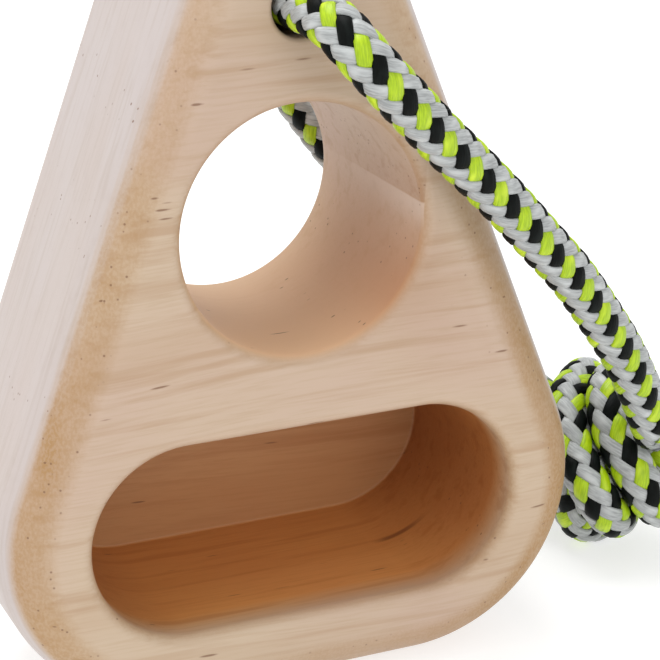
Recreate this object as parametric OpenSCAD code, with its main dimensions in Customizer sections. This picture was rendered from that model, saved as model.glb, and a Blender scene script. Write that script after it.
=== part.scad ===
// Hanging hand grip for climbers: a rounded wooden block with a round grip hole and a
// deep finger pocket, hung on a sling of braided rope that is knotted into a loop.
// Frame: X to the right, Y into the depth, Z up. The origin is the middle of the
// block's bottom, so the front face is at -block_t / 2 and the back face at +block_t / 2.

/* [Block] */
// Thickness of the block, front face to back face
block_t = 52; // [46:1:64]
// Radius of the rounded edge that runs all round both faces
edge_r = 11.4; // [4:0.2:14]
// Radius of the block's top corner, seen from the front
top_corner_r = 23.5; // [18:0.5:30]

/* [Round grip hole] */
// Diameter of the round hole
ring_d = 50; // [40:1:60]
// Height of the round hole's centre above the pocket's centre line
ring_rise = 60; // [52:1:74]

/* [Finger pocket] */
// Width of the pocket, end to end
pocket_w = 90; // [72:1:110]
// Height of the pocket
pocket_h = 40; // [32:1:48]
// Wood left behind the pocket's floor
pocket_back_t = 5; // [4:0.5:9]
// Wood left below and beside the pocket
pocket_wall_t = 17; // [13:0.5:22]

/* [Rope hole] */
// Height of the rope hole above the round hole's centre
rope_hole_rise = 43.5; // [36:0.5:54]
// Play of the rope in its hole, all round
rope_gap = 1; // [0.5:0.1:2]

/* [Rims] */
// Radius of the rounded rims of the round hole and the pocket
rim_r = 2.5; // [1:0.5:4]
// Radius of the rounded rims of the rope hole
rope_rim_r = 1; // [0.5:0.25:2]

/* [Rope] */
// Diameter of the braided rope
rope_d = 10; // [8:0.5:12]
// Diameter of the knot, about four ropes across
knot_d = 42; // [36:1:48]
// Length of the knot along its own axis
knot_l = 38; // [32:1:46]
// Radius of the knot's rounded ends
knot_end_r = 14; // [6:1:15]

/* [Hidden] */

ROUND_FN = 128;        // circles that stay true curves
HULL_FN = 64;          // circles inside a hull
ARC_STEPS = 6;         // chords in a rounded edge's quarter circle
RIM_STEPS = 3;         // chords in a rim's quarter circle
TUBE_SIDES = 12;       // sides of the rope's plain tubes
TUBE_STEPS = 2;        // rings from one route point to the next
CUT = 1;               // how far a cutting tool runs past the wood

WOOD = "burlywood";
ROPE = "yellowgreen";

pocket_r = pocket_h / 2;
pocket_reach = pocket_w / 2 - pocket_r;          // centre of each round end from the middle
bottom_corner_r = pocket_r + pocket_wall_t;      // the bottom corners follow the pocket's ends
pocket_z = bottom_corner_r;
ring_z = pocket_z + ring_rise;
rope_hole_z = ring_z + rope_hole_rise;
rope_hole_d = rope_d + 2 * rope_gap;
front_y = -block_t / 2;
back_y = block_t / 2;

// Where the knot lies, and how far its axis is turned from straight back to the left
KNOT_AT = [89, 9, knot_d / 2];
KNOT_TURN = 40;

// Middle line of each free stretch of rope
FRONT_ROUTE = [[0, -26, 140.5], [0, -33, 140.5], [1, -40, 139], [4, -44, 134.5], [9, -43.5, 129],
               [15, -41.5, 123], [22, -39, 116], [30, -36.5, 108.5], [38, -34.5, 100.5],
               [47, -32, 91], [56, -29, 81.5], [65, -25, 70.5], [73, -21, 60], [80, -17, 49],
               [87, -12, 37]];
BACK_ROUTE = [[0, 26, 140.5], [0, 33, 140.5], [1, 40, 139], [4, 44, 134.5], [9, 44.5, 128.5],
              [15, 44, 121.5], [22, 43, 112.5], [29, 42, 102], [36, 41, 92], [44, 40, 82],
              [52, 38.5, 72], [60, 37, 62], [67, 35, 52.5], [73, 32.5, 43.5], [78, 29.5, 34],
              [83, 25, 27]];
FRONT_TAIL = [[100, -3, 11], [106, -8, 6.5], [114, -13, 5.2], [122, -17, 5.2], [131, -19, 5.2],
              [140, -19, 5.2]];
BACK_TAIL = [[85, 24, 12], [80, 31, 7], [73, 39, 5.2], [66, 46, 5.2], [58, 52, 5.2],
             [50, 57, 5.2]];

// --- paths -----------------------------------------------------------------

// A point between b and c on a smooth curve through a, b, c and d
function on_curve(a, b, c, d, t) =
    0.5 * (2 * b + (c - a) * t + (2 * a - 5 * b + 4 * c - d) * t * t
           + (3 * b - a - 3 * c + d) * t * t * t);

// A route's points with its curve filled in between them
function smooth_route(route) =
    let (last = len(route) - 1)
    let (before = 2 * route[0] - route[1])
    let (after = 2 * route[last] - route[last - 1])
    [for (i = [0 : last]) for (s = [0 : i < last ? TUBE_STEPS - 1 : 0])
        on_curve(i > 0 ? route[i - 1] : before,
                 route[i],
                 i < last ? route[i + 1] : after,
                 i < last - 1 ? route[i + 2] : after,
                 s / TUBE_STEPS)];

function unit(v) = v / norm(v);

// The way a line of points runs at point i
function heading(points, i) =
    unit(points[min(i + 1, len(points) - 1)] - points[max(i - 1, 0)]);

// One ring of a tube, square to its heading; no route here runs along ASIDE
ASIDE = [0.8, 0.3, 0.6];
function ring_points(centre, along, r) =
    let (u = unit(cross(along, ASIDE)))
    let (v = cross(along, u))
    [for (k = [0 : TUBE_SIDES - 1])
        let (turn = 360 * k / TUBE_SIDES)
        centre + r * (cos(turn) * u + sin(turn) * v)];

// --- building blocks ---------------------------------------------------------

// A plain tube of rope along a route
module rope_tube(route) {
    line = smooth_route(route);
    rings = len(line);
    skin = [for (i = [0 : rings - 1]) each ring_points(line[i], heading(line, i), rope_d / 2)];
    sides = [for (i = [0 : rings - 2]) for (k = [0 : TUBE_SIDES - 1])
        let (n = (k + 1) % TUBE_SIDES)
        let (low = i * TUBE_SIDES)
        let (high = low + TUBE_SIDES)
        [low + k, high + k, high + n, low + n]];
    first_end = [for (k = [0 : TUBE_SIDES - 1]) k];
    last_end = [for (k = [TUBE_SIDES - 1 : -1 : 0]) (rings - 1) * TUBE_SIDES + k];
    polyhedron(points = skin, faces = concat([first_end, last_end], sides));
}

// Turns a shape built up along Z so that it runs along +Y from the front face
module from_front() {
    translate([0, front_y, 0])
        rotate([-90, 0, 0])
            children();
}

// A disc as thick as the block with both of its edges rounded, lying along Y
module soft_disc(r) {
    edge_middle = block_t / 2 - edge_r;
    corner = [for (i = [0 : ARC_STEPS])
        let (a = 90 * i / ARC_STEPS)
        [r - edge_r + edge_r * cos(a), edge_middle + edge_r * sin(a)]];
    mirrored = [for (i = [ARC_STEPS : -1 : 0]) [corner[i][0], -corner[i][1]]];
    rotate([-90, 0, 0])
        rotate_extrude($fn = HULL_FN)
            polygon(concat([[0, -block_t / 2]], mirrored, corner, [[0, block_t / 2]]));
}

// Outer shape of the block: three soft discs wrapped together
module block_body() {
    hull() {
        for (side = [-1, 1])
            translate([side * pocket_reach, 0, pocket_z])
                soft_disc(bottom_corner_r);
        translate([0, 0, rope_hole_z])
            soft_disc(top_corner_r);
    }
}

// Tool that opens a round mouth of radius r with a rounded rim, at the front face
module round_rim(r, rim) {
    flare = [for (i = [0 : RIM_STEPS])
        let (a = 90 * i / RIM_STEPS)
        [r + rim - rim * cos(a), rim - rim * sin(a)]];
    from_front()
        rotate_extrude($fn = ROUND_FN)
            polygon(concat([[0, rim]], flare, [[r + rim, -CUT], [0, -CUT]]));
}

// Round hole right through the block, with a rounded rim at each face
module through_hole(z, d, rim) {
    translate([0, 0, z]) {
        translate([0, -CUT, 0])
            from_front()
                cylinder(d = d, h = block_t + 2 * CUT, $fn = ROUND_FN);
        for (side = [0, 1])
            mirror([0, side, 0])
                round_rim(d / 2, rim);
    }
}

// Outline of the pocket, seen from the front
module pocket_outline() {
    for (side = [-1, 1])
        translate([side * pocket_reach, 0])
            circle(r = pocket_r, $fn = ROUND_FN);
    square([2 * pocket_reach, pocket_h], center = true);
}

// Blind pocket with a rounded rim
module finger_pocket() {
    translate([0, 0, pocket_z]) {
        translate([0, -CUT, 0])
            from_front()
                linear_extrude(height = block_t - pocket_back_t + CUT)
                    pocket_outline();
        hull()
            for (side = [-1, 1])
                translate([side * pocket_reach, 0, 0])
                    round_rim(pocket_r, rim_r, $fn = HULL_FN);
    }
}

// --- sub-parts -----------------------------------------------------------------

// The wooden block
module grip_block() {
    color(WOOD)
        difference() {
            block_body();
            through_hole(ring_z, ring_d, rim_r);
            through_hole(rope_hole_z, rope_hole_d, rope_rim_r);
            finger_pocket();
        }
}

// The rope inside the block
module rope_bore_run() {
    color(ROPE)
        translate([0, 0, rope_hole_z])
            from_front()
                cylinder(d = rope_d, h = block_t, $fn = ROUND_FN);
}

// The rope from the front mouth down to the knot
module rope_front_run() {
    color(ROPE)
        rope_tube(FRONT_ROUTE);
}

// The rope from the back mouth down to the knot
module rope_back_run() {
    color(ROPE)
        rope_tube(BACK_ROUTE);
}

// Outer shape of the knot, a barrel with rounded ends lying beside the block
module rope_knot() {
    color(ROPE)
        translate(KNOT_AT)
            rotate([0, 0, KNOT_TURN])
                rotate([90, 0, 0])
                    translate([0, 0, -knot_l / 2])
                        rotate_extrude($fn = ROUND_FN)
                            intersection() {
                                square([knot_d / 2, knot_l]);
                                union() {
                                    square([knot_d / 2 - knot_end_r, knot_l]);
                                    translate([0, knot_end_r])
                                        square([knot_d / 2, knot_l - 2 * knot_end_r]);
                                    for (end = [knot_end_r, knot_l - knot_end_r])
                                        translate([knot_d / 2 - knot_end_r, end])
                                            circle(r = knot_end_r, $fn = ROUND_FN);
                                }
                            }
}

// The end of the front run, past the knot
module rope_front_tail() {
    color(ROPE)
        rope_tube(FRONT_TAIL);
}

// The end of the back run, past the knot
module rope_back_tail() {
    color(ROPE)
        rope_tube(BACK_TAIL);
}

grip_block();
rope_bore_run();
rope_front_run();
rope_back_run();
rope_knot();
rope_front_tail();
rope_back_tail();
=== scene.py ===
import math

import bmesh
import bpy
import numpy as np
from mathutils import Matrix, Vector


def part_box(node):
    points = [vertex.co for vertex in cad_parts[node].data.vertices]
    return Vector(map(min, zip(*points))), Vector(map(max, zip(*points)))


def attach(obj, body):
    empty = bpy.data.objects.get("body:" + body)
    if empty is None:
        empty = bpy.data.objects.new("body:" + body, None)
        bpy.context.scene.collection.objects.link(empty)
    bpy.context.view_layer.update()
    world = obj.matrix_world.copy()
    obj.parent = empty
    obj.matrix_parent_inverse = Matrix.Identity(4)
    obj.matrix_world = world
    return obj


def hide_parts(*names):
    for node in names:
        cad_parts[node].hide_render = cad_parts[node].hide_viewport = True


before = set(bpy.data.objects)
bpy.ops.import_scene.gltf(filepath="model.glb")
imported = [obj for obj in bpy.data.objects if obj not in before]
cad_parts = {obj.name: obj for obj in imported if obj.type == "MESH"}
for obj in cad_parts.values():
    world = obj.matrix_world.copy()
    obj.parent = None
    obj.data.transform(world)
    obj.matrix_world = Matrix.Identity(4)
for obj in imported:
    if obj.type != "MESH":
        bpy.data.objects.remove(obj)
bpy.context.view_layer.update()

# All lengths are in metres. X runs to the right, Y from the front face to the back, Z up.

# --- sizes of the wooden block ---------------------------------------------------

block_low, block_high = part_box("grip_block")
bore_low, bore_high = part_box("rope_bore_run")
FRONT_Y, BACK_Y = block_low.y, block_high.y
BLOCK_T = BACK_Y - FRONT_Y
EDGE_R = 0.0114             # rounded edge round both faces
TOP_CORNER_R = 0.0235
RING_R = 0.025              # round grip hole
RING_RISE = 0.060           # its centre above the pocket's middle
POCKET_R = 0.020            # round ends of the finger pocket
POCKET_REACH = 0.025        # middle of each round end from the block's middle
POCKET_BACK_T = 0.005       # wood behind the pocket
POCKET_FLOOR_R = 0.0006     # small radius left by the cutter round the pocket's floor
CUTTER_MARK_AT = 0.0257     # depth of the step that the cutter left, whose shadow is painted
RIM_R = 0.0025
ROPE_RIM_R = 0.001
ROPE_GAP = 0.001            # play of the rope in its hole
LIGHT_EDGE_RISE = 0.0022         # painted edge between light and shade in the round hole, above its middle
NEAR = 1e-6                 # lengths that differ by less than this count as the same

BOTTOM_CORNER_R = block_high.x - POCKET_REACH
POCKET_Z = BOTTOM_CORNER_R
RING_Z = POCKET_Z + RING_RISE
ROPE_HOLE_Z = (bore_low.z + bore_high.z) / 2

# --- sizes of the rope ---------------------------------------------------------------

ROPE_D = bore_high.x - bore_low.x
ROPE_R = ROPE_D / 2
STRANDS_EACH_WAY = 8        # eight strands turn left and eight turn right
LAY = 0.0345                # length in which a strand goes once round the rope
EASE_L = 0.055              # length over which the strands slide to even out a bend
HOLD_L = 0.02               # stretch at each end of a rope along which they slide less
STRAND_W = 0.0030
STRAND_T = 0.00125
STRAND_SQUARED = 0.72       # shape of a strand's section: 1 is an ellipse and 0 a rectangle
WEAVE = 0.0006              # how far a strand rises and dips as it crosses the others
WEAVE_LEVEL = 1.8           # how level it runs between a rise and a dip: 0 is a plain wave
STRAND_MID_R = ROPE_R - STRAND_T / 2 - WEAVE
RINGS_PER_LAY = 48
STRAND_SIDES = 10
CORE_SIDES = 12
CAP_R = ROPE_R * 0.97       # melted end of a rope
CAP_T = 0.0034
CAP_EDGE_R = 0.0011

# Middle line of each free stretch of rope. The knot holds the last two points of a run and
# the first two of a tail.
FRONT_ROUTE = [
    (0, -0.026, 0.1405), (0, -0.033, 0.1405), (0.001, -0.040, 0.139), (0.004, -0.044, 0.1345),
    (0.009, -0.0435, 0.129), (0.015, -0.0415, 0.123), (0.022, -0.039, 0.116),
    (0.030, -0.0365, 0.1085), (0.038, -0.0345, 0.1005), (0.047, -0.032, 0.091),
    (0.056, -0.029, 0.0815), (0.065, -0.025, 0.0705), (0.073, -0.021, 0.060),
    (0.080, -0.017, 0.049), (0.087, -0.012, 0.037),
]
BACK_ROUTE = [
    (0, 0.026, 0.1405), (0, 0.033, 0.1405), (0.001, 0.040, 0.139), (0.004, 0.044, 0.1345),
    (0.009, 0.0445, 0.1285), (0.015, 0.044, 0.1215), (0.022, 0.043, 0.1125),
    (0.029, 0.042, 0.102), (0.036, 0.041, 0.092), (0.044, 0.040, 0.082),
    (0.052, 0.0385, 0.072), (0.060, 0.037, 0.062), (0.067, 0.035, 0.0525),
    (0.073, 0.0325, 0.0435), (0.078, 0.0295, 0.034),
]
FRONT_TAIL = [
    (0.106, -0.008, 0.0065), (0.114, -0.013, 0.0052), (0.122, -0.017, 0.0052),
    (0.131, -0.019, 0.0052), (0.140, -0.019, 0.0052),
]
BACK_TAIL = [
    (0.080, 0.031, 0.007), (0.073, 0.039, 0.0052), (0.066, 0.046, 0.0052),
    (0.058, 0.052, 0.0052), (0.050, 0.057, 0.0052),
]

# --- the knot --------------------------------------------------------------------------
# A doubled overhand knot: both ropes wind one and a half times round it side by side, and
# it is then pulled tight between the four places where they leave it.

KNOT_STEPS = 80             # points of each rope in the open knot, without the held ones
WIND_R = 0.014              # radius of the open windings
WIND_HALF_L = 0.034
RETURN_REACH = 0.034        # how far the strand comes round outside before it tucks
SIDE_BY_SIDE = 0.0052       # each rope's middle from the pair's middle
PULL_FROM = 0.046           # where the ropes leave the open knot, from its middle
HELD_L = 0.006              # length held still where a rope leaves it, between two points
PUSH_SHARE = 0.25           # share of an overlap that each of two ropes gives way at a time
LEAST_PULL = 0.02           # what is left of the pull in the last passes
KNOT_MIDDLE = Vector((0.090, 0.011, 0.021))
KNOT_AXIS = Vector((-0.6, 0.7, -0.35)).normalized()
KNOT_ROLL = math.radians(315)
NEIGHBOURS = 4              # points along one rope that may lie nearer than its diameter


def unit_rows(rows):
    return rows / np.linalg.norm(rows, axis=1)[:, None]


def open_windings():
    """Middle line of the pair: one and a half turns, round the outside, and back through."""
    along = KNOT_STEPS // 3
    t = np.linspace(0, 1, along, endpoint=False)
    turn = -3 * math.pi * t
    rise = WIND_HALF_L * (2 * t - 1)
    first = np.stack([WIND_R * np.cos(turn), WIND_R * np.sin(turn), rise], -1)
    u = np.linspace(0, math.pi, KNOT_STEPS - 2 * along, endpoint=False)
    outside = np.stack([
        -WIND_R - RETURN_REACH * np.sin(u),
        0 * u,
        WIND_HALF_L * np.cos(u) * (1 + 0.5 * np.sin(u) ** 2),
    ], -1)
    second = first * (-1, -1, 1)
    return np.vstack([first, outside, second])


def paired_ropes():
    """The two ropes of the open knot, side by side along the pair's middle line."""
    middle = open_windings()
    heading = unit_rows(np.gradient(middle, axis=0))
    outward = unit_rows(middle * (1, 1, 0))
    aside = unit_rows(np.cross(heading, outward))
    for _ in range(6):
        aside[1:-1] = (aside[:-2] + aside[1:-1] + aside[2:]) / 3
        aside = unit_rows(aside)
    ropes = []
    for side in (1, -1):
        y = -side * SIDE_BY_SIDE
        start = [(0, y, -PULL_FROM - HELD_L), (0, y, -PULL_FROM)]
        end = [(0, y, PULL_FROM), (0, y, PULL_FROM + HELD_L)]
        ropes.append(np.vstack([start, middle + side * SIDE_BY_SIDE * aside, end]))
    return np.vstack(ropes)


def settle(points, held, passes, pull, longest_move, on_floor):
    """Pulls both ropes tight and keeps them a diameter apart, with the held points still.
    The pull weakens in the second half of the passes."""
    total = len(points)
    half = total // 2
    index = np.arange(total)
    rope = index // half
    near = (rope[:, None] == rope[None, :]) & (abs(index[:, None] - index[None, :]) <= NEIGHBOURS)
    one, other = np.triu_indices(total, 1)
    apart = ~near[one, other]
    one, other = one[apart], other[apart]
    still = np.zeros(total, bool)
    still[held] = True
    ends = [0, half - 1, half, total - 1]
    for step in range(passes):
        eased = pull if step <= passes / 2 else pull * math.sqrt(1 - step / passes)
        move = np.zeros_like(points)
        move[1:-1] = (points[:-2] + points[2:]) / 2 - points[1:-1]
        move[ends] = 0
        move *= max(eased, LEAST_PULL)
        size = np.linalg.norm(move, axis=1)
        move *= np.minimum(1, longest_move / np.maximum(size, 1e-12))[:, None]
        move[still] = 0
        points = points + move
        for _ in range(3):
            gap = points[one] - points[other]
            reach = np.linalg.norm(gap, axis=1)
            touch = reach < ROPE_D
            if touch.any():
                a, b = one[touch], other[touch]
                overlap = ROPE_D - reach[touch]
                share = PUSH_SHARE * overlap / np.maximum(reach[touch], 1e-9)
                push = share[:, None] * gap[touch]
                shift = np.zeros_like(points)
                count = np.zeros(total)
                np.add.at(shift, a, push)
                np.add.at(shift, b, -push)
                np.add.at(count, a, 1)
                np.add.at(count, b, 1)
                shift /= np.sqrt(np.maximum(count, 1))[:, None]
                shift[still] = 0
                points = points + shift
            if on_floor:
                points[~still, 2] = np.maximum(points[~still, 2], ROPE_R)
    return points


def tied_knot():
    """The two ropes through the tight knot: front run to back tail, and front tail to back run."""
    half = KNOT_STEPS + 4
    held = [0, 1, half - 2, half - 1, half, half + 1, 2 * half - 2, 2 * half - 1]
    points = settle(paired_ropes(), held, passes=1500, pull=0.7, longest_move=0.0006,
                    on_floor=False)
    side = Vector((0, 0, 1)).cross(KNOT_AXIS).normalized()
    over = KNOT_AXIS.cross(side)
    across = math.cos(KNOT_ROLL) * side + math.sin(KNOT_ROLL) * over
    up = KNOT_AXIS.cross(across)
    points = np.array(KNOT_MIDDLE) + points @ np.array([across, up, KNOT_AXIS])
    leaves = np.array(FRONT_ROUTE[-2:] + BACK_TAIL[:2] + FRONT_TAIL[1::-1] + BACK_ROUTE[:-3:-1])
    start = points[held].copy()
    stages, lies_down_at = 30, 0.6
    for stage in range(1, stages + 1):
        t = stage / stages
        points[held] = start * (1 - t) + leaves * t
        points = settle(points, held, passes=40, pull=0.6, longest_move=0.0008,
                        on_floor=t > lies_down_at)
    points = settle(points, held, passes=400, pull=0.4, longest_move=0.0004, on_floor=True)
    return points[:half], points[half:]


# --- rope lines -------------------------------------------------------------------


def on_curve(a, b, c, d, t):
    """A point between b and c on a smooth curve through a, b, c and d."""
    return 0.5 * (2 * b + (c - a) * t + (2 * a - 5 * b + 4 * c - d) * t * t
                  + (3 * b - a - 3 * c + d) * t * t * t)


def even_line(route):
    """A smooth line through the route, with a point for every ring of the rope."""
    p = np.array(route, float)
    p = np.vstack([2 * p[0] - p[1], p, 2 * p[-1] - p[-2]])
    fill = np.linspace(0, 1, 16, endpoint=False)[:, None]
    line = np.vstack([on_curve(*p[i:i + 4], fill) for i in range(len(p) - 3)] + [p[-2]])
    run = np.append(0, np.cumsum(np.linalg.norm(np.diff(line, axis=0), axis=1)))
    count = round(run[-1] / LAY * RINGS_PER_LAY) + 1
    at = np.linspace(0, run[-1], count)
    even = np.stack([np.interp(at, run, line[:, k]) for k in range(3)], -1)
    for _ in range(3):
        even[1:-1] = (even[:-2] + 2 * even[1:-1] + even[2:]) / 4
    return even


class RopeLine:
    """A rope's middle line, and the place of any point on or in the rope."""

    def __init__(self, route, ahead=0.0, twist=0.0):
        """The braid starts at a length ahead of the line's start, turned by an angle."""
        self.ahead, self.twist = ahead, twist
        self.points = even_line(route)
        self.length = float(np.linalg.norm(np.diff(self.points, axis=0), axis=1).sum())
        self.run = np.linspace(0, self.length, len(self.points))
        heading = unit_rows(np.gradient(self.points, axis=0))
        side = np.cross(heading[0], (0, 0, 1.0))
        sides = []
        for h in heading:
            side = side - h * (side @ h)
            side = side / np.linalg.norm(side)
            sides.append(side)
        self.side = np.array(sides)
        self.other = np.cross(heading, self.side)
        bend = np.gradient(heading, self.run, axis=0)
        step = self.run[1]
        bends = [(bend * self.side).sum(1), (bend * self.other).sum(1)]
        self.bent = np.cumsum(bends, axis=1) * step
        reach = round(EASE_L / step)
        share = 1 + np.cos(np.linspace(-math.pi, math.pi, 2 * reach + 1))
        share /= share.sum()
        self.eased = np.array([
            np.convolve(np.pad(row, reach, mode="edge"), share, mode="valid") for row in self.bent])
        self.free = np.clip(np.minimum(self.run, self.length - self.run) / HOLD_L, 0, 1)

    def slide(self, run, turn):
        """Where along the rope the braid lies after its strands have evened out the bends."""
        def at(row, where):
            return np.interp(where, self.run, row)
        moved = run
        for _ in range(4):
            shift = sum(way * (at(bent, moved) - at(eased, run)) for way, bent, eased in
                        zip((np.cos(turn), np.sin(turn)), self.bent, self.eased))
            moved = run + ROPE_R * at(self.free, run) * shift
        return moved

    def place(self, run, turn, radius):
        """The point at a length along the rope, an angle round it and a radius."""
        turn = turn + self.twist
        run = self.slide(run, turn)

        def at(rows):
            return np.stack([np.interp(run, self.run, rows[:, k]) for k in range(3)], -1)
        out = np.cos(turn)[..., None] * at(self.side) + np.sin(turn)[..., None] * at(self.other)
        return at(self.points) + radius[..., None] * out


def tube_faces(rings, sides):
    """Faces of a tube whose points come ring by ring, with both of its ends closed."""
    ring, side = np.meshgrid(np.arange(rings - 1), np.arange(sides), indexing="ij")
    after = (side + 1) % sides
    low, high = ring * sides, (ring + 1) * sides
    walls = np.stack([low + side, low + after, high + after, high + side], -1).reshape(-1, 4)
    first = list(range(sides))[::-1]
    last = [(rings - 1) * sides + k for k in range(sides)]
    return walls, [first, last]


def tube_mesh(name, tubes):
    """One mesh of closed tubes. Each comes with its points ring by ring, and its fibre map
    runs in millimetres along the tube and once round it."""
    millimetres, tube_shift = 1000, 37.0
    points, faces, fibres = [], [], []
    base = 0
    for number, grid in enumerate(tubes):
        rings, sides = grid.shape[:2]
        walls, ends = tube_faces(rings, sides)
        middle = grid.mean(1)
        steps = np.linalg.norm(np.diff(middle, axis=0), axis=1)
        run = np.append(0, np.cumsum(steps)) * millimetres
        along = run[walls // sides] + tube_shift * number
        around = np.tile([0, 1, 1, 0], (len(walls), 1)) / sides + (walls[:, :1] % sides) / sides
        fibres.append(np.stack([along, around], -1).reshape(-1, 2))
        fibres.append(np.zeros((2 * sides, 2)))
        points.append(grid.reshape(-1, 3))
        faces += (walls + base).tolist()
        faces += [[base + k for k in end] for end in ends]
        base += rings * sides
    mesh = bpy.data.meshes.new(name)
    mesh.from_pydata(np.vstack(points).tolist(), [], faces)
    mesh.uv_layers.new(name="fibres").data.foreach_set("uv", np.vstack(fibres).ravel())
    mesh.shade_smooth()
    piece = bpy.data.objects.new(name, mesh)
    bpy.context.scene.collection.objects.link(piece)
    return piece


def strand_tube(line, number, way):
    """One flat strand of the braid. It turns left or right, over two and under two of the
    strands that turn the other way."""
    run = line.run
    laid = (run + line.ahead) / LAY
    turn = way * 2 * math.pi * laid + 2 * math.pi * number / STRANDS_EACH_WAY
    # The height changes from crossing to crossing and comes round again every four. What is
    # up in the strands that turn left is down in those that turn right.
    crossings = 2 * STRANDS_EACH_WAY * laid
    if way < 0:
        phase = (crossings + 2 * number - 0.5) / 4
    else:
        phase = (2 * number - crossings - 2.5) / 4
    swing = np.tanh(WEAVE_LEVEL * np.cos(2 * math.pi * phase)) / math.tanh(WEAVE_LEVEL)
    middle_r = STRAND_MID_R + WEAVE * swing
    lean = np.arctan(2 * math.pi * middle_r / LAY)
    a = np.linspace(0, 2 * math.pi, STRAND_SIDES, endpoint=False) + math.pi / STRAND_SIDES
    across = np.sign(np.cos(a)) * abs(np.cos(a)) ** STRAND_SQUARED * STRAND_W / 2
    out = np.sign(np.sin(a)) * abs(np.sin(a)) ** STRAND_SQUARED * STRAND_T / 2
    radius = middle_r[:, None] + out
    shift = across[None, :] / middle_r[:, None]
    at_run = run[:, None] - way * np.sin(lean)[:, None] * across
    at_turn = turn[:, None] + np.cos(lean)[:, None] * shift
    return line.place(at_run, at_turn, radius)


def core_tube(line):
    """The filling that shows dark between the strands."""
    a = np.linspace(0, 2 * math.pi, CORE_SIDES, endpoint=False)
    run = np.repeat(line.run[:, None], CORE_SIDES, 1)
    turn = np.repeat(a[None, :], len(line.run), 0)
    return line.place(run, turn, np.full_like(run, STRAND_MID_R - WEAVE))


# --- materials --------------------------------------------------------------------


class Finish:
    """A material under construction: a shader and what feeds it."""

    def __init__(self, name, **shader_values):
        self.material = bpy.data.materials.new(name)
        self.material.use_nodes = True
        self.tree = self.material.node_tree
        self.shader = self.tree.nodes["Principled BSDF"]
        for socket, value in shader_values.items():
            self.shader.inputs[socket.replace("_", " ")].default_value = value

    def node(self, kind, values=None, **settings):
        made = self.tree.nodes.new("ShaderNode" + kind)
        for key, value in settings.items():
            setattr(made, key, value)
        for socket, value in (values or {}).items():
            if isinstance(value, bpy.types.NodeSocket):
                self.tree.links.new(value, made.inputs[socket])
            else:
                made.inputs[socket].default_value = value
        return made

    def feed(self, socket, output):
        self.tree.links.new(output, self.shader.inputs[socket])

    def mapped(self, source, scale, move=(0, 0, 0)):
        return self.node("Mapping", {"Vector": source, "Scale": scale, "Location": move}).outputs[0]

    def noise(self, vector, scale=1.0, detail=2.0, roughness=0.5):
        made = self.node("TexNoise", {
            "Vector": vector, "Scale": scale, "Detail": detail, "Roughness": roughness})
        return made.outputs["Fac"]

    def between(self, value, low, high, to_low=0.0, to_high=1.0):
        """A soft step from to_low, where the value is low, to to_high, where it is high."""
        made = self.node("MapRange", {
            "Value": value, "From Min": low, "From Max": high, "To Min": to_low,
            "To Max": to_high}, interpolation_type="SMOOTHSTEP")
        return made.outputs["Result"]

    def maths(self, operation, a, b):
        return self.node("Math", {0: a, 1: b}, operation=operation).outputs[0]

    def times(self, first, *others):
        for other in others:
            first = self.maths("MULTIPLY", first, other)
        return first

    def mix(self, share, a, b, blend="MIX"):
        made = self.node("Mix", {"Factor": share, 6: a, 7: b}, data_type="RGBA", blend_type=blend)
        return made.outputs[2]

    def tint(self, share, tone, colour):
        """The tone, multiplied by a colour as far as the share says."""
        return self.mix(share, tone, self.mix(1.0, tone, colour, "MULTIPLY"))

    def mark(self, name):
        """One of the marks that paint_wood leaves on the wood."""
        return self.node("Attribute", attribute_name=name).outputs["Fac"]

    def bump(self, height, distance, strength=1.0):
        made = self.node("Bump", {"Height": height, "Distance": distance, "Strength": strength})
        self.feed("Normal", made.outputs[0])


def fibre_finish(name, colour, dark, light, roughness, gloss):
    """Filaments that run along a strand, a little uneven in colour."""
    f = Finish(name, Roughness=roughness, Specular_IOR_Level=gloss)
    place = f.node("UVMap", uv_map="fibres").outputs[0]
    fine = f.noise(f.mapped(place, (0.35, 34, 1)), 1.0, 2.0, 0.6)
    broad = f.noise(f.mapped(place, (0.22, 5, 1)), 1.0, 1.0)
    tone = f.mix(f.between(fine, 0.3, 0.7), dark, colour)
    tone = f.mix(f.between(broad, 0.45, 0.8), tone, light)
    f.feed("Base Color", tone)
    f.bump(fine, 0.00012, 0.8)
    return f.material


def rope_finishes():
    return {
        "grey": fibre_finish("light_grey_fibre", (0.43, 0.45, 0.445, 1),
                             (0.27, 0.28, 0.28, 1), (0.52, 0.54, 0.535, 1), 0.45, 0.4),
        "black": fibre_finish("black_fibre", (0.0025, 0.0040, 0.0035, 1),
                              (0.001, 0.0015, 0.001, 1), (0.007, 0.010, 0.009, 1), 0.50, 0.09),
        "yellow": fibre_finish("yellow_green_fibre", (0.42, 0.60, 0.005, 1),
                               (0.27, 0.42, 0.001, 1), (0.56, 0.72, 0.03, 1), 0.40, 0.4),
    }


def melted_finish():
    f = Finish("melted_fibre", Roughness=0.32, Specular_IOR_Level=0.5)
    place = f.node("TexCoord").outputs["Object"]
    blotch = f.noise(place, 420, 3.0)
    f.feed("Base Color", f.mix(f.between(blotch, 0.35, 0.65), (0.02, 0.022, 0.02, 1),
                               (0.10, 0.12, 0.03, 1)))
    f.bump(blotch, 0.0004, 0.6)
    return f.material


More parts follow.
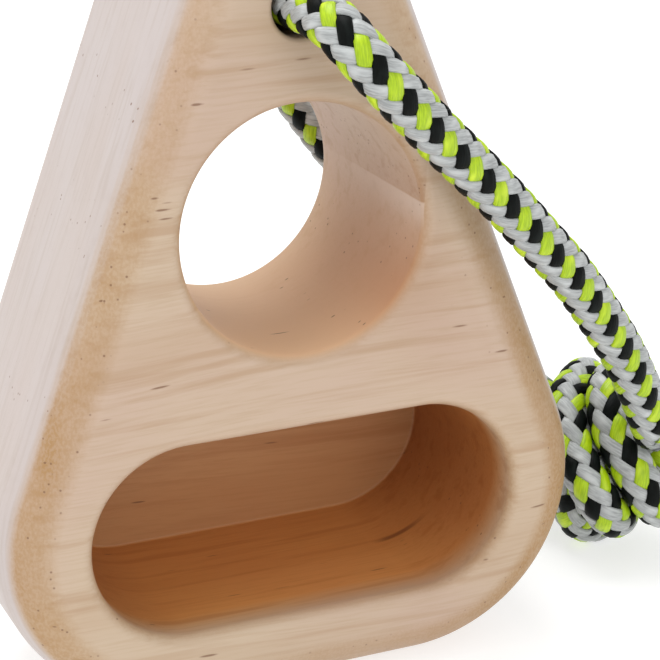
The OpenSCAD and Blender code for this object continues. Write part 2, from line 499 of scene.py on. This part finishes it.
def wood_finish():
    """Bare sanded softwood whose grain runs along X."""
    f = Finish("sanded_softwood", Roughness=0.50, Specular_IOR_Level=0.42)
    place = f.node("TexCoord").outputs["Object"]
    warped = drifting_grain(f, place)
    fibre = f.noise(f.mapped(warped, (60, 1500, 1500)), 1.0, 3.0, 0.6)
    tone = long_grain_tone(f, place, warped, fibre)
    # paler end grain on the sides, partly its own tone and partly a painted reflection
    tone = f.mix(f.times(f.mark("end_grain_sheen"), 0.85), tone, end_grain_sheen_tone(f, place))
    tone = f.mix(burnished_share(f, place), tone, (0.34, 0.180, 0.050, 1))
    tone = pocket_light_and_shade_tone(f, place, tone)
    tone = bore_light_and_shade_tone(f, place, tone)
    tone = f.mix(f.times(resin_dashes(f, warped), 0.75), tone, (0.16, 0.07, 0.03, 1))
    open_grain = f.maths("MAXIMUM", f.between(f.mark("burnish"), 0.15, 0.5), f.mark("pored"))
    tone = f.mix(f.times(pore_dots(f, place), open_grain, 0.7), tone, (0.15, 0.065, 0.03, 1))
    f.feed("Base Color", tone)
    f.bump(fibre, 0.00006, 0.6)
    return f.material


def long_grain_tone(f, place, warped, fibre):
    """Broad bands, fine streaks and single fibres, each a little darker than the wood."""
    clouds = f.noise(f.mapped(place, (16, 22, 22), (0.4, 0.2, 0.7)), 1.0, 2.0)
    bands = f.noise(f.mapped(warped, (5, 75, 75), (3.1, 0.7, 1.9)), 1.0, 2.0)
    streaks = f.noise(f.mapped(warped, (9, 330, 330)), 1.0, 4.0, 0.55)
    tone = f.mix(f.between(clouds, 0.35, 0.68), (0.525, 0.405, 0.290, 1), (0.51, 0.370, 0.285, 1))
    tone = f.mix(f.between(bands, 0.46, 0.70, 0.0, 0.35), tone, (0.45, 0.305, 0.195, 1))
    tone = f.mix(f.between(streaks, 0.50, 0.70, 0.0, 0.65), tone, (0.40, 0.255, 0.150, 1))
    return f.mix(f.between(fibre, 0.40, 0.75, 0.0, 0.50), tone, (0.44, 0.31, 0.20, 1))


def burnished_share(f, place):
    """How far the cutter browned the worked edges, in clouds and in fine specks."""
    clouds = f.between(f.noise(f.mapped(place, (60, 60, 25)), 1.0, 2.0), 0.3, 0.7, 0.6, 1.0)
    specks = f.noise(f.mapped(place, (2000, 2000, 1300)), 1.0, 2.0)
    return f.times(f.mark("burnish"), clouds, f.between(specks, 0.35, 0.65, 0.75, 1.1))


def pocket_light_and_shade_tone(f, place, tone):
    """Painted shade and bounce light in the pocket: darker and browner inside, warmer and lighter
    on its walls, and darker again at its ends, which get less light. The cutter's step in it gets a
    painted shadow.
    """
    inside = f.mark("pocket")
    # painted shade and warm bounce light inside the pocket
    tone = f.tint(inside, tone, (1.0, 0.68, 0.40, 1))
    # painted warm bounce light on the pocket's walls
    tone = f.tint(f.mark("pocket_walls_bounce_light"), tone, (1.25, 1.13, 0.80, 1))
    # painted shade at the pocket's ends
    tone = f.tint(f.mark("pocket_ends_shade"), tone, (0.55, 0.45, 0.42, 1))
    # painted shadow of the cutter's step
    return f.mix(f.times(cutter_step_shadow(f, place), inside), tone, (0.16, 0.055, 0.02, 1))


def bore_light_and_shade_tone(f, place, tone):
    """The round hole gets warm painted light low down, where light falls in from above, and is
    browned low on its right. Along its right side runs a painted edge of light and shade, with
    painted shade above it and a painted highlight below."""
    # painted warm light on the lower half of the hole, where light falls in from above
    tone = f.mix(f.mark("bore"), tone, (0.82, 0.54, 0.33, 1))
    tone = f.tint(f.mark("bore_browned"), tone, (0.74, 0.58, 0.49, 1))
    x, y, z = f.node("SeparateXYZ", {0: place}).outputs
    right_side = f.between(x, 0.6 * RING_R, 0.72 * RING_R)
    not_past_it = f.between(x, RING_R + 0.0002, RING_R + 0.0004, 1.0, 0.0)
    on_wall = f.times(right_side, not_past_it, f.between(y, FRONT_Y, BACK_Y, 1.0, 0.1))
    # painted edge between shade above and light from behind below
    light_edge_z = RING_Z + LIGHT_EDGE_RISE
    over = f.between(z, light_edge_z, light_edge_z + 0.0005)
    under = f.between(z, light_edge_z, light_edge_z + 0.0005, 1.0, 0.0)
    dark = f.times(on_wall, over, f.between(z, light_edge_z + 0.001, light_edge_z + 0.012, 0.8, 0.0))
    pale = f.times(on_wall, f.between(z, light_edge_z - 0.007, light_edge_z - 0.0005, 0.0, 0.6), under)
    # painted shade above the edge and a painted highlight below it
    tone = f.tint(dark, tone, (0.84, 0.76, 0.70, 1))
    return f.mix(pale, tone, (0.66, 0.54, 0.46, 1))


def drifting_grain(f, place):
    """Coordinates in which the grain lines wander slowly up and down."""
    def vectors(operation, values):
        return f.node("VectorMath", values, operation=operation).outputs[0]
    noise = f.node("TexNoise", {"Vector": f.mapped(place, (7, 14, 14)), "Scale": 1.0,
                                "Detail": 1.0}).outputs["Color"]
    centred = vectors("SUBTRACT", {0: noise, 1: (0.5, 0.5, 0.5)})
    drift = vectors("SCALE", {0: centred, "Scale": 0.014})
    return vectors("ADD", {0: place, 1: drift})


def end_grain_sheen_tone(f, place):
    """The cut ends of the fibres on the block's two long sides, paler and greyer than the face,
    partly their own tone and partly a painted reflection of the white surroundings.
    """
    rows = f.noise(f.mapped(place, (50, 900, 50)), 1.0, 3.0, 0.6)
    clouds = f.noise(f.mapped(place, (30, 40, 18), (0.9, 0.1, 0.3)), 1.0, 2.0)
    tone = f.mix(f.between(clouds, 0.35, 0.7), (0.505, 0.46, 0.455, 1), (0.49, 0.43, 0.41, 1))
    return f.mix(f.between(rows, 0.45, 0.7, 0.0, 0.45), tone, (0.41, 0.35, 0.315, 1))


def flecks(f, place, scale, edge, channel, chosen):
    """Small dark spots in a few of the cells that space is split into, faded at their edge."""
    cells = f.node("TexVoronoi", {"Vector": f.mapped(place, scale), "Scale": 1.0})
    draw = f.node("SeparateColor", {0: cells.outputs["Color"]}).outputs[channel]
    shape = f.between(cells.outputs["Distance"], *edge, 1.0, 0.0)
    return f.times(shape, f.between(draw, *chosen))


def resin_dashes(f, place):
    """Short thin dark dashes along the grain, few and far between."""
    return flecks(f, place, (95, 800, 800), (0.10, 0.24), 0, (0.925, 0.945))


def pore_dots(f, place):
    """Dark ends of resin canals, less than half a millimetre across."""
    return flecks(f, place, (520, 520, 520), (0.07, 0.17), 1, (0.46, 0.52))


def cutter_step_shadow(f, place):
    """A painted shadow in a thin crescent along the step that the cutter left where it was let
    down, low in the pocket's right end.
    """
    x, y, z = f.node("SeparateXYZ", {0: place}).outputs
    aside = f.maths("ABSOLUTE", f.maths("SUBTRACT", y, FRONT_Y + CUTTER_MARK_AT), 0)
    on_line = f.between(aside, 0.0003, 0.0011, 1.0, 0.0)
    begins = f.between(x, POCKET_REACH - 0.001, POCKET_REACH + 0.004)
    ends = f.between(x, POCKET_REACH + 0.007, POCKET_REACH + 0.014, 1.0, 0.0)
    low = f.between(z, POCKET_Z - 0.004, POCKET_Z - 0.001, 1.0, 0.0)
    return f.times(on_line, begins, ends, low, 0.75)


# --- the wooden block -------------------------------------------------------------


def edit_mesh():
    """The mesh being edited, with its vertices numbered afresh."""
    mesh = bmesh.from_edit_mesh(bpy.context.object.data)
    mesh.verts.index_update()
    return mesh


def pick(chosen, kind="VERT"):
    """Selects just the vertices, edges or faces for which chosen says yes."""
    bpy.ops.mesh.select_mode(type=kind)
    bpy.ops.mesh.select_all(action="DESELECT")
    mesh = edit_mesh()
    for part in {"VERT": mesh.verts, "EDGE": mesh.edges, "FACE": mesh.faces}[kind]:
        part.select = bool(chosen(part))
    mesh.select_flush_mode()
    bmesh.update_edit_mesh(bpy.context.object.data)


def world_of(vertex):
    return bpy.context.object.matrix_world @ vertex.co


def add_circle(x, y, z, radius, corners):
    bpy.ops.mesh.primitive_circle_add(
        vertices=corners, radius=radius, location=(x, y, z), rotation=(math.pi / 2, 0, 0))


def outline_circles():
    """The three circles that the block's outline wraps, as (x, z, radius)."""
    return [(-POCKET_REACH, POCKET_Z, BOTTOM_CORNER_R), (POCKET_REACH, POCKET_Z, BOTTOM_CORNER_R),
            (0, ROPE_HOLE_Z, TOP_CORNER_R)]


def outward(point):
    """The direction from the middle of the circle that a point is on, with that circle."""
    for circle in outline_circles():
        dx, dz = point.x - circle[0], point.z - circle[1]
        if abs(math.hypot(dx, dz) - circle[2]) < NEAR:
            return (dx / circle[2], dz / circle[2]), circle


def on_outline(point):
    """Whether a point of one of the circles is on the line that wraps all three."""
    way, own = outward(point)

    def outreach(circle):
        return circle[0] * way[0] + circle[1] * way[1] + circle[2]
    return outreach(own) > max(map(outreach, outline_circles())) - NEAR / 10


def body_shell():
    """The block's rounded outside, with its two flat faces left open."""
    corners, edge_steps, most_side_corners = 180, 14, 8
    for x, z, radius in outline_circles():
        add_circle(x, FRONT_Y, z, radius, corners)
        bpy.ops.object.mode_set(mode="EDIT")
    pick(lambda v: not on_outline(world_of(v)))
    bpy.ops.mesh.delete(type="VERT")
    for _ in outline_circles():
        close_one_gap()
    bpy.ops.mesh.select_all(action="SELECT")
    bpy.ops.mesh.edge_face_add()
    bpy.ops.mesh.extrude_region_move(TRANSFORM_OT_translate={"value": (0, BLOCK_T, 0)})
    bpy.ops.mesh.select_all(action="SELECT")
    bpy.ops.mesh.normals_make_consistent(inside=False)
    pick(lambda e: abs(world_of(e.verts[0]).y - world_of(e.verts[1]).y) < NEAR, "EDGE")
    bpy.ops.mesh.bevel(offset=EDGE_R, segments=edge_steps, profile=0.5, affect="EDGES",
                       clamp_overlap=False)
    pick(lambda f: len(f.verts) > most_side_corners, "FACE")
    bpy.ops.mesh.delete(type="ONLY_FACE")


def close_one_gap():
    """Joins the open ends of two arcs that face the same way with a straight edge."""
    start, *others = (v for v in edit_mesh().verts if len(v.link_edges) == 1)
    way = outward(world_of(start))[0]

    def alike(vertex):
        its_way = outward(world_of(vertex))[0]
        return way[0] * its_way[0] + way[1] * its_way[1]
    chosen = {start.index, max(others, key=alike).index}
    pick(lambda v: v.index in chosen)
    bpy.ops.mesh.edge_face_add()


def carry_mouth(reach, z, from_r, to_r, deeper):
    """Carries the picked loop deeper into the block, and draws its round ends in or out."""
    bpy.ops.mesh.extrude_region_move(TRANSFORM_OT_translate={"value": (0, deeper, 0)})
    mesh = edit_mesh()
    loop = {v.index for v in mesh.verts if v.select}
    right = {v.index for v in mesh.verts if v.select and world_of(v).x > 0}
    scale = to_r / from_r
    ends = [(reach, right), (-reach, loop - right)] if reach else [(0, loop)]
    for x, end in ends:
        pick(lambda v: v.index in end)
        bpy.ops.transform.resize(value=(scale, 1, scale), center_override=(x, 0, z))
    pick(lambda v: v.index in loop)


def start_mouth(reach, z, radius, corners):
    """Draws a mouth's outer loop on the front face and leaves it picked."""
    bpy.ops.mesh.select_mode(type="VERT")
    bpy.ops.mesh.select_all(action="DESELECT")
    if not reach:
        add_circle(0, FRONT_Y, z, radius, corners)
        return
    for side in (-1, 1):
        bpy.ops.mesh.select_all(action="DESELECT")
        add_circle(side * reach, FRONT_Y, z, radius, corners)
        inner = {v.index for v in edit_mesh().verts
                 if v.select and (world_of(v).x - side * reach) * side < -NEAR}
        pick(lambda v: v.index in inner)
        bpy.ops.mesh.delete(type="VERT")
    for up in (-1, 1):
        pick(lambda v: len(v.link_edges) == 1 and (world_of(v).z - z) * up > 0
             and not v.link_faces)
        bpy.ops.mesh.edge_face_add()
    pick(lambda v: not v.link_faces)


def flare_steps(rim, steps):
    """Radius to add and depth reached at each step of a rounded rim."""
    for k in range(1, steps + 1):
        a = math.pi / 2 * k / steps
        yield rim * (1 - math.sin(a)), rim * (1 - math.cos(a))


def through_mouth(z, radius, rim, corners, steps):
    """A round hole right through, rounded at both faces."""
    start_mouth(0, z, radius + rim, corners)
    profile = [(rim, 0.0)] + list(flare_steps(rim, steps))
    profile += [(extra, BLOCK_T - depth) for extra, depth in reversed(profile)]
    for (extra, depth), (next_extra, next_depth) in zip(profile, profile[1:]):
        carry_mouth(0, z, radius + extra, radius + next_extra, next_depth - depth)


def pocket_mouth():
    """The finger pocket: a rounded rim, a wall and a floor."""
    corners, rim_steps, floor_steps = 128, 6, 4
    depth_to_floor = BLOCK_T - POCKET_BACK_T
    start_mouth(POCKET_REACH, POCKET_Z, POCKET_R + RIM_R, corners)
    profile = [(POCKET_R + RIM_R, 0.0)]
    profile += [(POCKET_R + extra, depth) for extra, depth in flare_steps(RIM_R, rim_steps)]
    profile += [(POCKET_R, depth_to_floor * share) for share in (0.2, 0.35, 0.6)]
    for k in range(floor_steps + 1):
        a = math.pi / 2 * k / floor_steps
        profile.append((POCKET_R - POCKET_FLOOR_R * (1 - math.cos(a)),
                        depth_to_floor - POCKET_FLOOR_R * (1 - math.sin(a))))
    for (r, depth), (next_r, next_depth) in zip(profile, profile[1:]):
        carry_mouth(POCKET_REACH, POCKET_Z, r, next_r, next_depth - depth)
    bpy.ops.mesh.edge_face_add()


def flat_face(y):
    """Fills one flat face of the block round the mouths that open in it. Filling needs
    corners further apart than these, so it is done at a larger size."""
    larger = 1000
    bpy.ops.mesh.select_all(action="SELECT")
    bpy.ops.transform.resize(value=(larger,) * 3, center_override=(0, 0, 0))
    pick(lambda v: abs(world_of(v).y - y * larger) < NEAR * larger
         and any(len(e.link_faces) < 2 for e in v.link_edges))
    bpy.ops.mesh.fill(use_beauty=True)
    bpy.ops.mesh.select_all(action="SELECT")
    bpy.ops.transform.resize(value=(1 / larger,) * 3, center_override=(0, 0, 0))


MARKS = ("burnish", "end_grain_sheen", "pocket", "pocket_walls_bounce_light", "pocket_ends_shade", "bore",
         "bore_browned", "pored")


def smooth(low, high, value):
    """0 up to low, 1 from high on, and a soft step between."""
    t = min(1, max(0, (value - low) / (high - low)))
    return t * t * (3 - 2 * t)


def pocket_light_and_shade_marks(vertex):
    """How far a vertex is in the pocket, on its walls and on its ends, where the grain is cut
    across, for the painted shade and bounce light there.
    """
    inward = smooth(0, 0.010, vertex.co.y - FRONT_Y)
    return {"pocket": inward, "pocket_walls_bounce_light": inward * (1 - abs(vertex.normal.y)),
            "pocket_ends_shade": inward * abs(vertex.normal.x)}


def bore_marks(vertex, deep):
    """The lower half of the round hole, which gets painted light, the part browned low on its right
    at the front, and the open pores on the right of its rims."""
    browned_at, browned_spread, pored_at = -33, 30, 10      # degrees round the hole
    x, y, z = vertex.co
    lower = smooth(-RING_R, RING_R, RING_Z - z)
    at_front = 1 if y < 0 else 0
    wall = smooth(0, RIM_R, deep)
    round_it = math.degrees(math.atan2(z - RING_Z, x))
    browned = math.exp(-((round_it - browned_at) / browned_spread) ** 2)
    pored = 1 - smooth(15, 30, abs(round_it - pored_at))
    # painted light on the lower half of the hole
    return {"bore": lower ** 2 * wall * (0.6 + 0.4 * at_front),
            "bore_browned": browned * (0.35 + 0.65 * wall) * at_front,
            "pored": 0.8 * pored * (1 - smooth(0, 0.001, deep))}


def edge_marks(vertex, deep):
    """The tan band along the rounded edge, and past it the end grain on the sides, paler partly by
    its own tone and partly by a painted reflection of the white surroundings.
    """
    sideways = abs(vertex.normal.x)
    # 0 on the flat face and 90 on the block's side
    angle = math.degrees(math.acos(max(0, 1 - max(0, deep) / EDGE_R)))
    low = 1 - smooth(0.02, 0.15, vertex.co.z)
    # the pale end grain, partly a painted reflection, starts at this angle round the edge, a little
    # further round low down
    turns_pale = 48 + 9 * low
    pale = smooth(turns_pale - 7, turns_pale + 7, angle)
    tan = smooth(4, 24, angle) * (1 - pale) * (0.35 + 0.85 * low)
    return {"burnish": tan * (0.3 + 0.7 * sideways ** 0.5),
            "end_grain_sheen": pale * smooth(0.3, 0.8, sideways)}


def wood_marks(vertex):
    """The marks of one of the block's vertices."""
    x, y, z = vertex.co
    deep = min(y - FRONT_Y, BACK_Y - y)
    past_end = max(abs(x) - POCKET_REACH, 0)
    in_ring = math.hypot(x, z - RING_Z) < RING_R + RIM_R + 10 * NEAR
    in_pocket = math.hypot(past_end, z - POCKET_Z) < POCKET_R + RIM_R + 10 * NEAR
    in_rope_hole = math.hypot(x, z - ROPE_HOLE_Z) < TOP_CORNER_R / 2
    if in_pocket:
        found = pocket_light_and_shade_marks(vertex)
    elif in_ring:
        found = bore_marks(vertex, deep)
    else:
        found = {} if in_rope_hole else edge_marks(vertex, deep)
    if deep < RIM_R and (in_ring or in_pocket):
        rounding = math.sin(math.pi * deep / RIM_R)
        found["burnish"] = (0.2 + 0.3 * abs(vertex.normal.x)) * rounding
    return found


def paint_wood(mesh):
    """Leaves the marks that the wood's finish reads."""
    for name in MARKS:
        mesh.attributes.new(name, "FLOAT", "POINT")
    for vertex in mesh.vertices:
        for name, value in wood_marks(vertex).items():
            mesh.attributes[name].data[vertex.index].value = value


def wooden_block(finish):
    """The block, built as one closed skin: its outside, its mouths, and the two flat faces."""
    bpy.ops.object.select_all(action="DESELECT")
    body_shell()
    through_mouth(RING_Z, RING_R, RIM_R, corners=128, steps=6)
    through_mouth(ROPE_HOLE_Z, ROPE_R + ROPE_GAP, ROPE_RIM_R, corners=64, steps=4)
    pocket_mouth()
    flat_face(FRONT_Y)
    flat_face(BACK_Y)
    bpy.ops.mesh.select_all(action="SELECT")
    bpy.ops.mesh.remove_doubles(threshold=5 * NEAR)
    bpy.ops.mesh.normals_make_consistent(inside=False)
    bpy.ops.object.mode_set(mode="OBJECT")
    block = bpy.context.object
    block.name = block.data.name = "wooden_grip_block"
    bpy.ops.object.transform_apply(location=True, rotation=True, scale=True)
    paint_wood(block.data)
    bpy.ops.object.shade_smooth_by_angle(angle=math.radians(40))
    soften = block.modifiers.new("soften", "WEIGHTED_NORMAL")
    soften.keep_sharp = True
    bpy.ops.object.modifier_apply(modifier=soften.name)
    block.data.materials.clear()
    block.data.materials.append(finish)
    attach(block, "block")
    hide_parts("grip_block")


# --- the sling --------------------------------------------------------------------


def sealed_end(name, line, finish):
    """The melted end of a rope, a low dome over the ends of its strands."""
    bpy.ops.object.select_all(action="DESELECT")
    bpy.ops.mesh.primitive_cylinder_add(vertices=40, radius=CAP_R, depth=CAP_T)
    cap = bpy.context.object
    cap.name = cap.data.name = name
    bpy.ops.object.mode_set(mode="EDIT")
    pick(lambda f: abs(f.normal.z) > 0.9, "FACE")
    bpy.ops.mesh.bevel(offset=CAP_EDGE_R, segments=5, profile=0.5, affect="EDGES")
    bpy.ops.object.mode_set(mode="OBJECT")
    bpy.ops.object.shade_smooth_by_angle(angle=math.radians(50))
    out = Vector(line.points[-1] - line.points[-4]).normalized()
    turned = out.to_track_quat("Z", "Y").to_matrix().to_4x4()
    cap.data.transform(Matrix.Translation(Vector(line.points[-1])) @ turned)
    cap.data.materials.append(finish)
    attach(cap, "sling")
    return cap


def braided_rope(name, route, ahead, twist, finishes, melted, nodes):
    """A rope from the middle of the block's hole to its cut end: the grey strands and the
    filling are one piece, and the black and the yellow-green strands are two more. The braid
    starts a length ahead and is twisted by an angle in degrees."""
    line = RopeLine(route, ahead, math.radians(twist))
    colours = {
        "grey": [core_tube(line)] + [strand_tube(line, k, -1) for k in range(STRANDS_EACH_WAY)],
        "black": [strand_tube(line, k, 1) for k in range(0, STRANDS_EACH_WAY, 2)],
        "yellow": [strand_tube(line, k, 1) for k in range(1, STRANDS_EACH_WAY, 2)],
    }
    for colour, tubes in colours.items():
        piece = tube_mesh(f"{name}_{colour}_strands", tubes)
        piece.data.materials.append(finishes[colour])
        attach(piece, "sling")
    end = sealed_end(f"{name}_sealed_end", line, melted)
    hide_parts(*nodes)


def rope_sling():
    """Two ropes that leave the block's hole on either side of it and cross in the knot."""
    finishes = rope_finishes()
    melted = melted_finish()
    front_through, back_through = tied_knot()
    middle_of_bore = (0, 0, ROPE_HOLE_Z)
    front = [middle_of_bore] + FRONT_ROUTE[:-2] + front_through.tolist() + BACK_TAIL[2:]
    back = [middle_of_bore] + BACK_ROUTE[:-2] + back_through[::-1].tolist() + FRONT_TAIL[2:]
    braided_rope("front_rope", front, 0.0039, 3, finishes, melted,
                 ["rope_bore_run", "rope_front_run", "rope_knot", "rope_back_tail"])
    braided_rope("back_rope", back, 0.0026, 69, finishes, melted,
                 ["rope_back_run", "rope_front_tail"])


# --- the place it stands, the light and the camera --------------------------------


def white_floor():
    bpy.ops.object.select_all(action="DESELECT")
    bpy.ops.mesh.primitive_plane_add(size=8.0, location=(0, 0, 0))
    floor = bpy.context.object
    floor.name = "floor"
    white = Finish("white_floor", Roughness=0.9, Specular_IOR_Level=0.0,
                   Base_Color=(0.5, 0.5, 0.5, 1), Emission_Color=(1, 1, 1, 1),
                   Emission_Strength=0.62)
    floor.data.materials.append(white.material)


def soft_light(name, place, aim, size, power):
    light = bpy.data.lights.new(name, "AREA")
    light.shape = "DISK"
    light.size = size
    light.energy = power
    lamp = bpy.data.objects.new(name, light)
    bpy.context.scene.collection.objects.link(lamp)
    lamp.location = place
    lamp.rotation_euler = (Vector(aim) - Vector(place)).to_track_quat("-Z", "Y").to_euler()


def studio():
    world = bpy.data.worlds.new("studio")
    world.use_nodes = True
    background = world.node_tree.nodes["Background"]
    background.inputs["Color"].default_value = (1, 1, 1, 1)
    background.inputs["Strength"].default_value = 0.79
    bpy.context.scene.world = world
    middle = (0.0, 0.0, 0.08)
    soft_light("key", (-1.25, -0.45, 0.75), middle, 0.8, 3)
    soft_light("top", (-0.1, 0.25, 1.3), middle, 1.0, 12)
    soft_light("front", (0.1, -1.4, 0.7), middle, 1.0, 4)


def camera():
    """Seen from in front, a little to the left and above."""
    data = bpy.data.cameras.new("camera")
    data.lens, data.sensor_width = 125.5, 36.0
    data.clip_start, data.clip_end = 0.01, 20
    eye = bpy.data.objects.new("camera", data)
    bpy.context.scene.collection.objects.link(eye)
    place = (-0.161, -0.4121, 0.2254)
    turn, tilt, lean = -0.405, -0.340, -0.013
    eye.matrix_world = (Matrix.Translation(place)
                        @ Matrix.Rotation(turn, 4, "Z")
                        @ Matrix.Rotation(math.pi / 2 + tilt, 4, "X")
                        @ Matrix.Rotation(lean, 4, "Z"))
    bpy.context.scene.camera = eye


camera()
rope_sling()
wooden_block(wood_finish())
white_floor()
studio()
bpy.context.scene.view_settings.view_transform = "Standard"
